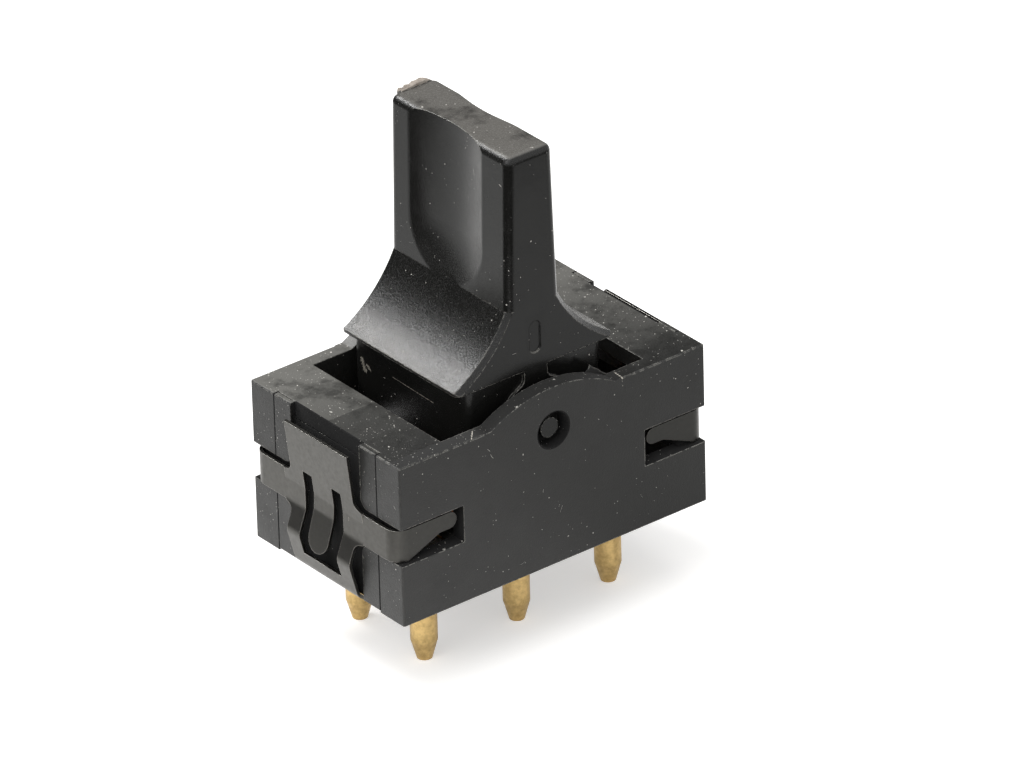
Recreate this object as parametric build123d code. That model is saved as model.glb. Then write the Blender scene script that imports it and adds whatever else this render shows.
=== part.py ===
from build123d import *
import os
from math import atan2, cos, degrees, pi, radians, sin, tan

# A sprung lever tilts two contact rockers in a two-part housing held by spring clips.

os.makedirs("parts", exist_ok=True)

# Housing outside
housing_length = 34.6
housing_width = 21.48
housing_height = 16.0
corner_radius = 0.2
top_edge_bevel = 0.1

# Cover walls and the opening in its top
side_wall = 1.54
end_wall = 1.1
top_wall = 1.6
opening_length = 22.9
crest_half_length = 7.0
crest_rise = 1.95
crest_blend = 0.4
slot_inset = 0.3

# Lever pivot
pivot_drop = 2.4
pivot_hole_diameter = 3.6
pivot_boss_diameter = 5.4
pivot_boss_height = 0.5
journal_clearance = 0.075
journal_end_gap = 1.6
nub_diameter = 1.95
nub_end_gap = 0.6

# End skirts of the base, laid into the ends of the cover
skirt_width = 14.6
skirt_thickness = 1.1
skirt_lip = 0.5
skirt_gap = 0.08
seam_gap = 0.06
pocket_width = 9.9
pocket_depth = 0.55
pocket_blend = 1.0

# Base floor
floor_thickness = 2.3
floor_rise = 0.2
floor_gap = 0.12
barrier_thickness = 1.0
barrier_height = 5.2
barrier_end_gap = 1.0

# Grooves for the arms of the spring clips
groove_low = 6.05
groove_high = 9.75
groove_length = 7.0
groove_depth_side = 0.95
groove_depth_end = 0.7

# Spring clips
clip_sheet = 0.3
clip_seat_gap = 0.03
clip_half_width = 4.5
clip_window_half_width = 2.75
clip_window_low = 1.95
clip_window_high = 10.3
clip_tab_top = 14.9
clip_tab_lean = 0.78
clip_tab_root = 8.4
clip_bulge = 0.9
clip_bulge_height = 3.9
clip_bulge_root = 6.3
clip_foot_height = 0.45
clip_foot_reach = 0.7
clip_foot_low = -0.1
clip_side_inset = 0.38
clip_bend_radius = 1.5
arm_top = 9.35
arm_root_top = 9.75
arm_low = 6.2
arm_root_low = 5.85
arm_tip_low = 7.75
arm_tip_reach = 6.5
arm_taper_start = 1.0
arm_taper_end = 4.6
tongue_half_width = 1.4
tongue_root = 7.0
tongue_root_set = 0.08
tongue_tip_height = 3.4
tongue_tip_reach = 1.15
clip_split = 5.6
clip_shoulder = 1.3
clip_corner_radius = 0.8
clip_curve_radius = 1.2

# Terminal pins
pin_diameter = 2.5
pin_drop = 8.3
pin_point_length = 1.9
pin_point_diameter = 1.45
pin_end_inset = 4.47
pin_side_inset = 4.5
pin_shank_width = 3.0
pin_gap = 0.03
pin_head_length = 4.4
pin_head_width = 4.0
pin_head_height = 0.8

# Contacts and rockers
contact_length = 3.0
contact_width = 2.4
fixed_contact_height = 0.6
moving_contact_height = 0.5
contact_edge = 0.2
rocker_sheet = 0.8
rocker_width = 3.4
rocker_corner = 0.4
rocker_overhang = 1.65
rocker_rise_angle = 5.0
rocker_pivot_height = 4.6
rocker_nose_radius = 0.55
cradle_gap = 0.07
cradle_length = 2.4
cradle_width = 3.0
cradle_lip_drop = 0.1

# Lever blade
lever_side_gap = 0.8
blade_top_thickness = 5.1
blade_low_thickness = 5.9
blade_height = 24.55
break_height = 9.35
lip_reach = 8.9
lip_height = 3.3
lip_edge = 0.3
flare_radius = 14.2
flare_run_in = 1.6
flare_bevel = 0.45
blade_edge_radius = 0.75

# Finger scoops on both faces of the blade
scoop_half_width = 5.2
scoop_offset = 0.5
scoop_depth = 0.8
scoop_runout_rise = 4.85
scoop_runout_turn = 30.0
scoop_border_radius = 1.2

# Small oval mark on one side of the lever, and the flash left at one top edge
mark_length = 3.2
mark_width = 1.3
mark_depth = 0.15
mark_height = 6.05
flash_length = 3.3
flash_height = 0.3
flash_thickness = 0.14
flash_outline = [(-1, -1), (-0.9, 0.35), (-0.35, 0.6), (0.15, 1), (0.7, 0.9), (1, -1)]

# Lever skirt inside the opening
skirt_block_half_length = 7.8
skirt_block_inset = 0.3
skirt_block_drop = 1.4
skirt_block_corner = 0.9
skirt_block_wall = 1.3
ear_radius = 4.3
web_half_width = 1.3
web_blend = 0.8
tube_width = 4.4
tube_drop = 5.0
bore_rise = 3.0

# Plungers and their springs
plunger_diameter = 2.0
plunger_clearance = 0.1
plunger_nose_gap = 0.15
plunger_nose_length = 0.6
spring_room = 5.4
spring_wire = 0.3
spring_diameter = 1.85
spring_turns = 4.5
spring_steps = 12
spring_seat_gap = 0.03

# Levels and places that follow from the sizes above
under = pin_drop
top = under + housing_height
floor_low = under + floor_rise
floor_top = floor_low + floor_thickness
half_length = housing_length / 2
half_width = housing_width / 2
inner_half_width = half_width - side_wall
skirt_inner = half_length - skirt_thickness
cover_end = skirt_inner - skirt_gap
inner_half_length = cover_end - end_wall
pivot_level = top - pivot_drop
row = inner_half_width - pin_side_inset
column = inner_half_length - pin_end_inset
blade_half_width = inner_half_width - lever_side_gap
blade_top = top + blade_height
break_level = top + break_height
lip_low = top + lip_height - lip_edge
tube_low = pivot_level - tube_drop
bore_roof = pivot_level + bore_rise
plunger_top = bore_roof - spring_room
rocker_pivot = under + rocker_pivot_height
rocker_top = rocker_pivot + rocker_sheet
rocker_reach = column + rocker_overhang
head_top = floor_top + pin_head_height

# How far cutters run past a surface, and how near counts as on it
past = 1.0
tiny = 0.01

rows = {"front": -row, "back": row}
columns = {"left": -column, "middle": 0.0, "right": column}


def block(x_low, x_high, y_low, y_high, z_low, z_high):
    """A box given by its two corners."""
    size = Box(x_high - x_low, y_high - y_low, z_high - z_low)
    return Pos((x_low + x_high) / 2, (y_low + y_high) / 2, (z_low + z_high) / 2) * size


def centred_block(half_x, half_y, z_low, z_high):
    """A box about the vertical axis."""
    return block(-half_x, half_x, -half_y, half_y, z_low, z_high)


def cylinder_up(x, y, radius, z_low, z_high):
    """An upright cylinder between two levels."""
    return Pos(x, y, (z_low + z_high) / 2) * Cylinder(radius, z_high - z_low)


def cylinder_across(x, z, radius, y_low, y_high):
    """A cylinder along Y between two places."""
    return Pos(x, (y_low + y_high) / 2, z) * Rot(90, 0, 0) * Cylinder(radius, y_high - y_low)


def side_slab(outline, y_low, y_high):
    """An outline drawn in X and Z, as thick as the stretch of Y given."""
    upright = Plane.XZ * outline
    return Pos(0, (y_low + y_high) / 2, 0) * extrude(upright, (y_high - y_low) / 2, both=True)


def end_slab(outline, x_low, x_high):
    """An outline drawn in Y and Z, as thick as the stretch of X given."""
    upright = Plane.YZ * outline
    return Pos((x_low + x_high) / 2, 0, 0) * extrude(upright, (x_high - x_low) / 2, both=True)


def outline_of(points):
    """A face inside straight edges."""
    return make_face(Polyline(*points, close=True))


def both_ends(shape):
    """A shape and its copy turned half a turn about the vertical axis."""
    return shape + Rot(0, 0, 180) * shape


def both_sides(shape):
    """A shape and its mirror image across the middle plane along X."""
    return shape + mirror(shape, Plane.XZ)


def crest():
    """The domed rise of one side wall over the pivot."""
    foot_half = crest_half_length + 2 * crest_blend
    arc = ThreePointArc((-crest_half_length, top), (0, top + crest_rise), (crest_half_length, top))
    dome = make_face(arc + Line(arc @ 1, arc @ 0))
    foot = Pos(0, top - top_wall / 2) * Rectangle(2 * foot_half, top_wall)
    outline = dome + foot
    corners = [v for v in outline.vertices() if abs(abs(v.X) - crest_half_length) < tiny]
    outline = fillet(corners, crest_blend)
    return side_slab(outline, inner_half_width, half_width)


def clip_groove():
    """The channel round one corner of the cover, in which an arm of a clip lies."""
    low = under + groove_low
    high = under + groove_high
    side = block(half_length - groove_length, half_length + past, half_width - groove_depth_side,
                 half_width + past, low, high)
    slot = block(half_length - groove_length, inner_half_length - slot_inset,
                 inner_half_width - past, half_width, low, high)
    end = block(half_length - groove_depth_end, half_length + past, skirt_width / 2 - past,
                half_width + past, low, high)
    return side + slot + end


def make_cover():
    """The outer shell with its crests, pivot holes, opening and grooves."""
    shell = centred_block(half_length, half_width, under, top)
    shell = fillet(shell.edges().filter_by(Axis.Z), corner_radius)
    shell = chamfer(shell.faces().sort_by(Axis.Z)[-1].edges(), top_edge_bevel)
    shell += both_sides(crest())
    shell -= centred_block(inner_half_length, inner_half_width, under - past, top - top_wall)
    shell -= centred_block(opening_length / 2, inner_half_width, under, top + crest_rise)
    seam_half = skirt_width / 2 + seam_gap
    recess = block(cover_end, half_length + past, -seam_half, seam_half, under - past, top - top_wall)
    recess += block(half_length - skirt_lip - skirt_gap, half_length + past, -seam_half, seam_half,
                    under - past, top + past)
    recess += block(inner_half_length - past, half_length, -seam_half, seam_half, under - past,
                    floor_top + floor_gap)
    shell -= both_ends(recess)
    shell -= both_ends(both_sides(clip_groove()))
    shell += both_sides(cylinder_across(0, pivot_level, pivot_boss_diameter / 2,
                                        inner_half_width - pivot_boss_height, inner_half_width))
    return shell - cylinder_across(0, pivot_level, pivot_hole_diameter / 2, -half_width - past,
                                   half_width + past)


def skirt_recess():
    """The sunk field on a skirt: a column behind the clip, with wings for its arms."""
    column_half = pocket_width / 2
    wing_half = skirt_width / 2 + past
    low = under + groove_low
    high = under + groove_high
    column = Pos(0, (under + top) / 2) * Rectangle(2 * column_half, housing_height + 2 * past)
    wings = Pos(0, (low + high) / 2) * Rectangle(2 * wing_half, high - low)
    outline = column + wings
    corners = [v for v in outline.vertices() if abs(abs(v.X) - column_half) < tiny and
               low - tiny < v.Y < high + tiny]
    outline = fillet(corners, pocket_blend)
    return end_slab(outline, half_length - pocket_depth, half_length + past)


def make_base():
    """The terminal carrier: floor, barrier and the two end skirts."""
    floor = centred_block(inner_half_length - floor_gap, inner_half_width - floor_gap, floor_low,
                          floor_top)
    floor += centred_block(half_length, skirt_width / 2, floor_low, floor_top)
    barrier_half = inner_half_length - barrier_end_gap
    barrier = centred_block(barrier_half, barrier_thickness / 2, floor_top,
                            floor_top + barrier_height)
    lip_inner = half_length - skirt_lip
    skirt = block(skirt_inner, half_length, -skirt_width / 2, skirt_width / 2, floor_low,
                  top - top_wall - skirt_gap)
    lip = block(lip_inner, half_length, -skirt_width / 2, skirt_width / 2, floor_low, top)
    skirt += chamfer(lip.faces().sort_by(Axis.Z)[-1].edges().sort_by(Axis.X)[-1], top_edge_bevel)
    skirt -= skirt_recess()
    base = floor + barrier + both_ends(skirt)
    base -= both_ends(block(half_length - pocket_depth, half_length + past, -pocket_width / 2,
                            pocket_width / 2, under - past, floor_top))
    hole = pin_shank_width / 2 + pin_gap
    for y in rows.values():
        for x in columns.values():
            base -= Pos(x, y) * centred_block(hole, hole, under - past, top)
    return base


def inner_path(points, sheet):
    """The path on the inner side of a sheet whose outer face runs through the points."""
    moved = []
    last = len(points) - 1
    for index, here in enumerate(points):
        before = points[max(index - 1, 0)]
        after = points[min(index + 1, last)]
        into = Vector(here[0] - before[0], here[1] - before[1])
        onward = Vector(after[0] - here[0], after[1] - here[1])
        first = into if index > 0 else onward
        second = onward if index < last else into
        normal_first = Vector(first.Y, -first.X).normalized()
        normal_second = Vector(second.Y, -second.X).normalized()
        middle = (normal_first + normal_second).normalized()
        reach = sheet / middle.dot(normal_first)
        moved.append((here[0] + middle.X * reach, here[1] + middle.Y * reach))
    return moved


def bent_sheet(points, sheet, half_breadth):
    """A sheet in soft bends, its outer face through points in X and Z, from the top down."""
    inner = inner_path(points, sheet)
    outline = outline_of(points + inner[::-1])
    bends = points[1:-1] + inner[1:-1]
    corners = [v for v in outline.vertices() if
               any(abs(v.X - x) + abs(v.Y - z) < tiny for x, z in bends)]
    return side_slab(fillet(corners, clip_curve_radius), -half_breadth, half_breadth)


def clip_front_outline():
    """The clip seen from the end: tab, legs, foot and the roots of the arms, with its window."""
    body = block_outline(-clip_half_width, clip_half_width, under - past, under + clip_tab_top + past)
    arm_points = [
        (0, under + arm_root_top),
        (clip_half_width, under + arm_root_top),
        (clip_half_width + clip_shoulder, under + arm_top),
        (half_width + past, under + arm_top),
        (half_width + past, under + arm_low),
        (clip_half_width + clip_shoulder, under + arm_low),
        (clip_half_width, under + arm_root_low),
        (0, under + arm_root_low),
    ]
    arm = outline_of(arm_points)
    outline = body + arm + mirror(arm, Plane.YZ)
    corners = [v for v in outline.vertices() if abs(abs(v.X) - clip_half_width) < tiny and
               under + past < v.Y < under + clip_tab_top]
    outline = fillet(corners, clip_corner_radius)
    return outline - block_outline(-clip_window_half_width, clip_window_half_width,
                                   under + clip_window_low, under + clip_window_high)


def block_outline(x_low, x_high, y_low, y_high):
    """A rectangle given by its two corners."""
    size = Rectangle(x_high - x_low, y_high - y_low)
    return Pos((x_low + x_high) / 2, (y_low + y_high) / 2) * size


def clip_arm_outline():
    """An arm seen from the side of the housing, tapering to its rounded tip."""
    tip = half_length - arm_tip_reach
    tip_radius = (arm_top - arm_tip_low) / 2
    neck = tip + tip_radius
    points = [
        (half_length + past, under + arm_top),
        (neck, under + arm_top),
        (neck, under + arm_tip_low),
        (half_length - arm_taper_end, under + arm_tip_low),
        (half_length - arm_taper_start, under + arm_low),
        (half_length + past, under + arm_low),
    ]
    return outline_of(points) + Pos(neck, under + arm_top - tip_radius) * Circle(tip_radius)


def clip_arms(face):
    """Both arms: a strip that runs along the end face and bends round the corners."""
    side_face = half_width - clip_side_inset
    outer = RectangleRounded(2 * face, 2 * side_face, clip_bend_radius)
    inner = RectangleRounded(2 * (face - clip_sheet), 2 * (side_face - clip_sheet),
                             clip_bend_radius - clip_sheet)
    strip = Pos(0, 0, under) * extrude(outer - inner, clip_tab_top)
    strip -= centred_block(face + past, clip_split, under, top)
    return strip & side_slab(clip_arm_outline(), -half_width, half_width)


def make_clip():
    """A spring clip: leaning tab, bulged legs joined by a foot, barbed tongue and two arms."""
    face = half_length + clip_seat_gap + clip_sheet
    lean = clip_tab_lean / (clip_tab_top - clip_tab_root)
    front = end_slab(clip_front_outline(), half_length - groove_length, half_length + 3 * past)
    legs = bent_sheet([
        (face + clip_tab_lean, under + clip_tab_top),
        (face, under + clip_tab_root),
        (face, under + clip_bulge_root),
        (face + clip_bulge, under + clip_bulge_height),
        (face, under + clip_foot_height),
        (face - clip_foot_reach, under + clip_foot_low),
    ], clip_sheet, clip_split)
    tongue_top = clip_window_high + clip_sheet
    tongue = bent_sheet([
        (face + lean * (tongue_top - clip_tab_root), under + tongue_top),
        (face, under + clip_tab_root),
        (face + tongue_root_set, under + tongue_root),
        (face + tongue_tip_reach, under + tongue_tip_height),
    ], clip_sheet, tongue_half_width)
    tip_centre = under + tongue_tip_height + tongue_half_width
    tongue_outline = block_outline(-tongue_half_width, tongue_half_width, tip_centre, top)
    tongue_outline += Pos(0, tip_centre) * Circle(tongue_half_width)
    tongue &= end_slab(tongue_outline, half_length - 2 * past, half_length + 3 * past)
    return (legs & front) + (clip_arms(face) & front) + tongue


def make_pin(x, y):
    """A round terminal pin with a pointed end, a square shank and a flat oblong head."""
    radius = pin_diameter / 2
    point_radius = pin_point_diameter / 2
    shank = pin_shank_width / 2
    points = [
        (0, 0),
        (point_radius, 0),
        (radius, pin_point_length),
        (radius, floor_low),
        (0, floor_low),
    ]
    pin = revolve(Plane.XZ * outline_of(points), Axis.Z)
    pin += centred_block(shank, shank, floor_low, floor_top)
    pin += centred_block(pin_head_length / 2, pin_head_width / 2, floor_top, head_top)
    return Pos(x, y) * pin


def make_middle_pin(x, y):
    """A pin with a grooved block on its head, which carries a rocker."""
    cradle_top = rocker_pivot - cradle_lip_drop
    cradle = centred_block(cradle_length / 2, cradle_width / 2, head_top, cradle_top)
    cradle -= cylinder_across(0, rocker_pivot, rocker_nose_radius + cradle_gap, -cradle_width,
                              cradle_width)
    return make_pin(x, y) + Pos(x, y) * cradle


def contact_pad(height):
    """A flat contact standing on the ground plane, its upper edges bevelled."""
    pad = centred_block(contact_length / 2, contact_width / 2, 0, height)
    return chamfer(pad.faces().sort_by(Axis.Z)[-1].edges(), contact_edge)


def make_fixed_contact(x, y):
    """The contact on the head of an outer pin."""
    return Pos(x, y, head_top) * contact_pad(fixed_contact_height)


def make_rocker(y):
    """The contact rocker: a shallow V of strip with a rounded nose under its middle."""
    rise = rocker_reach * tan(radians(rocker_rise_angle))
    outline = outline_of([
        (-rocker_reach, rocker_pivot + rise),
        (0, rocker_pivot),
        (rocker_reach, rocker_pivot + rise),
        (rocker_reach, rocker_top + rise),
        (0, rocker_top),
        (-rocker_reach, rocker_top + rise),
    ])
    rocker = side_slab(outline, -rocker_width / 2, rocker_width / 2)
    rocker = chamfer(rocker.edges().filter_by(Axis.Z), rocker_corner)
    nose_half = cradle_width / 2
    rocker += cylinder_across(0, rocker_pivot, rocker_nose_radius, -nose_half, nose_half)
    return Pos(0, y) * rocker


def make_moving_contact(side, y):
    """The contact under one end of a rocker, square to its sloping arm."""
    level = rocker_pivot + column * tan(radians(rocker_rise_angle))
    turn = Rot(180, side * rocker_rise_angle, 0)
    return Pos(side * column, y, level) * turn * contact_pad(moving_contact_height)


def flare_curve():
    """The hollow curve from the break in the blade's face down to the lip."""
    foot = (blade_low_thickness / 2, break_level)
    lip = (lip_reach, top + lip_height)
    return RadiusArc(foot, lip, -flare_radius)


def mirrored_slab(edges):
    """A slab as wide as the blade, whose outline is the drawn half and its mirror image."""
    half = make_face(edges)
    return side_slab(half + mirror(half, Plane.YZ), -blade_half_width, blade_half_width)


def under_flare():
    """What lies under the flare, its surface run on into the blade above the break."""
    flare = flare_curve()
    foot = flare @ 0
    head = foot - (flare % 0) * flare_run_in
    edges = [
        Line(head, foot),
        flare,
        Line(flare @ 1, (0, lip_low)),
        Line((0, lip_low), (0, head.Y)),
        Line((0, head.Y), head),
    ]
    return side_slab(make_face(edges), -blade_half_width, blade_half_width)


def finger_scoop():
    """The cutter for the hollow in the blade's face on the +X side, its floor along the face."""
    radius = (scoop_half_width ** 2 + scoop_depth ** 2) / (2 * scoop_depth)
    disc = Pos(radius - scoop_depth, scoop_offset) * Circle(radius)
    segment = disc & block_outline(-2 * scoop_depth, scoop_depth, scoop_offset - radius,
                                   scoop_offset + radius)
    segment = Pos(0, 0, scoop_runout_rise) * segment
    straight = extrude(segment, blade_height)
    turn_axis = Axis((radius - scoop_depth, 0, scoop_runout_rise), (0, -1, 0))
    runout = revolve(segment, turn_axis, scoop_runout_turn)
    lean = degrees(atan2(blade_low_thickness - blade_top_thickness, 2 * (blade_top - break_level)))
    place = Pos(blade_low_thickness / 2, 0, break_level) * Rot(0, -lean, 0)
    return place * (straight + runout) - under_flare()


def plain_blade(level):
    """The blade without its scoops, its leaning faces run up to the level."""
    share = (level - break_level) / (blade_top - break_level)
    half = (blade_low_thickness + (blade_top_thickness - blade_low_thickness) * share) / 2
    low = (blade_low_thickness / 2, break_level)
    return mirrored_slab([Line((0, level), (half, level)), Line((half, level), low),
                          Line(low, (0, break_level)), Line((0, break_level), (0, level))])


def lever_blade():
    """The blade with rounded edges and a finger scoop in each face."""
    scoop = finger_scoop()
    scooped = plain_blade(blade_top + past) - scoop - mirror(scoop, Plane.YZ)
    borders = [e for e in scooped.edges() if break_level + tiny < e.center().Z < blade_top and
               2 * scoop_offset < abs(e.center().Y) < blade_half_width - tiny]
    rounded = plain_blade(blade_top)
    rim = [e for e in rounded.edges() if e.center().Z > blade_top - tiny or
           (e.center().Z > break_level + tiny and abs(e.center().Y) > blade_half_width - tiny)]
    return fillet(borders, scoop_border_radius) & fillet(rim, blade_edge_radius)


def lever_flare():
    """The flared foot under the blade, bevelled at its sides, with rounded lip corners."""
    flare = flare_curve()
    lip = (lip_reach, lip_low)
    foot = mirrored_slab([Line((0, break_level), flare @ 0), flare, Line(flare @ 1, lip),
                          Line(lip, (0, lip_low)), Line((0, lip_low), (0, break_level))])
    sides = [e for e in foot.edges() if abs(e.center().Y) > blade_half_width - tiny and
             lip_low + tiny < e.center().Z < break_level - tiny and
             abs(e.center().X) < lip_reach - tiny]
    foot = chamfer(sides, flare_bevel)
    plan = RectangleRounded(2 * lip_reach, 2 * blade_half_width, blade_edge_radius)
    return foot & Pos(0, 0, lip_low) * extrude(plan, break_level - lip_low)


def lever_skirt():
    """The hollow block under the lip, with two spring tubes and the ears of the pivot."""
    block_half = blade_half_width - skirt_block_inset
    low = pivot_level - skirt_block_drop
    roof = lip_low - skirt_block_wall
    body = centred_block(skirt_block_half_length, block_half, low, lip_low)
    body = fillet(body.edges().filter_by(Axis.Z), skirt_block_corner)
    body -= centred_block(skirt_block_half_length - skirt_block_wall,
                          block_half - skirt_block_wall, low - past, roof)
    ear = Pos(0, pivot_level) * Circle(ear_radius)
    ear += block_outline(-web_half_width, web_half_width, pivot_level, lip_low)
    corners = [v for v in ear.vertices() if v.Y > pivot_level + past and v.Y < lip_low - tiny]
    ear = fillet(corners, web_blend)
    body += both_sides(side_slab(ear, block_half - skirt_block_wall, blade_half_width))
    tube = centred_block(tube_width / 2, tube_width / 2, tube_low, roof)
    for y in rows.values():
        body += Pos(0, y) * tube
    return body


def lever_pivot():
    """The journal and the nub on its end, on each side of the lever."""
    journal_radius = pivot_hole_diameter / 2 - journal_clearance
    y = blade_half_width - skirt_block_inset
    pivot = cylinder_across(0, pivot_level, journal_radius, y, half_width - journal_end_gap)
    pivot += cylinder_across(0, pivot_level, nub_diameter / 2, y, half_width - nub_end_gap)
    return both_sides(pivot)


def flash():
    """The thin torn flash standing on one top edge of the blade."""
    y = blade_half_width - flash_thickness - blade_edge_radius / 2
    outline = outline_of([(along * flash_length / 2, blade_top + up * flash_height)
                          for along, up in flash_outline])
    return side_slab(outline, y, y + flash_thickness)


def make_paddle():
    """The lever in one moulding: scooped blade, flared lip, hollow skirt and trunnions."""
    lever = lever_blade() + lever_flare() + lever_skirt() + lever_pivot() + flash()
    mark = Pos(0, top + mark_height) * SlotOverall(mark_length, mark_width, rotation=90)
    lever -= side_slab(mark, -blade_half_width, mark_depth - blade_half_width)
    bore_radius = plunger_diameter / 2 + plunger_clearance
    for y in rows.values():
        lever -= cylinder_up(0, y, bore_radius, tube_low - past, bore_roof)
    return lever


def make_plunger(y):
    """A blunt-nosed plunger that slides in a tube of the lever and bears on a rocker."""
    radius = plunger_diameter / 2
    nose = rocker_top + plunger_nose_gap
    points = [
        (0, nose),
        (radius, nose + plunger_nose_length),
        (radius, plunger_top),
        (0, plunger_top),
    ]
    return Pos(0, y) * revolve(Plane.XZ * outline_of(points), Axis.Z)


def make_spring(y):
    """The compression spring between a plunger and the roof of its bore."""
    coil_radius = (spring_diameter - spring_wire) / 2
    low = plunger_top + spring_wire / 2 + spring_seat_gap
    high = bore_roof - spring_wire / 2 - spring_seat_gap
    count = int(spring_turns * spring_steps)
    points = []
    for index in range(count + 1):
        turn = 2 * pi * index / spring_steps
        level = low + (high - low) * index / count
        points.append((coil_radius * cos(turn), coil_radius * sin(turn), level))
    path = Polyline(*points)
    section = Plane(path @ 0, z_dir=path % 0) * RegularPolygon(spring_wire / 2, 6)
    return Pos(0, y) * sweep(section, path, transition=Transition.RIGHT)


def write(name, shape):
    """Save one piece under its own name."""
    shape.label = name
    export_step(shape, f"parts/{name}.step")


def main():
    write("cover", make_cover())
    write("base", make_base())
    write("paddle", make_paddle())
    write("clip_right", make_clip())
    write("clip_left", Rot(0, 0, 180) * make_clip())
    for row_name, y in rows.items():
        for column_name, x in columns.items():
            place = f"{row_name}_{column_name}"
            if column_name == "middle":
                write(f"pin_{place}", make_middle_pin(x, y))
            else:
                write(f"pin_{place}", make_pin(x, y))
                write(f"fixed_contact_{place}", make_fixed_contact(x, y))
                side = 1 if x > 0 else -1
                write(f"moving_contact_{place}", make_moving_contact(side, y))
        write(f"rocker_{row_name}", make_rocker(y))
        write(f"plunger_{row_name}", make_plunger(y))
        write(f"spring_{row_name}", make_spring(y))


main()
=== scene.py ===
import bpy
import math
from mathutils import Matrix, Vector


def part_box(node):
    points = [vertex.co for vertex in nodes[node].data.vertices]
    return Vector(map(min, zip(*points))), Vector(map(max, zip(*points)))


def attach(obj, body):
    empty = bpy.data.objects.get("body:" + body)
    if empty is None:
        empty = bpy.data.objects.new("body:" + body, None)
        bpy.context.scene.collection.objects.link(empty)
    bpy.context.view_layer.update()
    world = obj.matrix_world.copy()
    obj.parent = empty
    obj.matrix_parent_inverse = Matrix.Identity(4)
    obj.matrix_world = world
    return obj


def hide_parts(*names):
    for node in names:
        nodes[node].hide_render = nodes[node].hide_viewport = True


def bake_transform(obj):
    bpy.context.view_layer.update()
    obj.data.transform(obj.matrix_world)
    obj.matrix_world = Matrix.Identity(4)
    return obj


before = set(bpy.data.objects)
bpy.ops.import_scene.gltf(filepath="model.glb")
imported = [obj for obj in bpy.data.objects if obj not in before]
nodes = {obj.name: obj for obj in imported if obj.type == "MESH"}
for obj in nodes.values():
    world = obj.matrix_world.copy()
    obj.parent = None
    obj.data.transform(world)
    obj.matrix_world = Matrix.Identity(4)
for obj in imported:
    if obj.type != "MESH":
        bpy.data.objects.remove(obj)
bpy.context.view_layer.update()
print("frame loaded:", len(nodes), "nodes")

mm = 0.001
coverLow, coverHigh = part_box("cover")
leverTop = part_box("paddle")[1].z
underside = coverLow.z                  # the housing stands this high above the pin tips
coverTop = underside + 15.98 * mm       # just under the housing's flat top


def linearColour(hexColour):            # sRGB hex to the linear values that Blender works in
    shares = [int(hexColour[i:i + 2], 16) / 255 for i in (1, 3, 5)]
    linear = [s / 12.92 if s <= 0.04045 else ((s + 0.055) / 1.055) ** 2.4 for s in shares]
    return (*linear, 1.0)


def perMetre(sizeMm):                   # texture scale for a pattern whose cells have this size
    return 1000 / sizeMm


def addNode(material, kind, inputs={}, **settings):     # an input is a value, a node or one output of a node
    tree = material.node_tree
    node = tree.nodes.new(kind)
    for name, value in settings.items():
        setattr(node, name, value)
    for socket, value in inputs.items():
        if isinstance(value, bpy.types.Node):
            value = next(output for output in value.outputs if output.enabled)
        if isinstance(value, bpy.types.NodeSocket):
            tree.links.new(value, node.inputs[socket])
        else:
            node.inputs[socket].default_value = value
    return node


def newMaterial(name):                  # a node material with nothing in it yet
    material = bpy.data.materials.new(name)
    material.use_nodes = True
    material.node_tree.nodes.clear()
    return material


# Dust: pale crumbs of three sizes with ragged outlines, and a few curled hairs
dustLook = {
    "crumbs mm": [(0.32, 0.05), (0.7, 0.075), (1.7, 0.12)],     # spacing and radius of each size
    "wobble mm": 0.22, "wobble depth mm": 0.25, "onset": 4.0, "rim mm": 0.025,
    "hair mm": 2.2, "hair curl": 0.8, "hair width": 0.004, "hair patch mm": 1.3, "hair patch from": 0.76,
}


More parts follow.
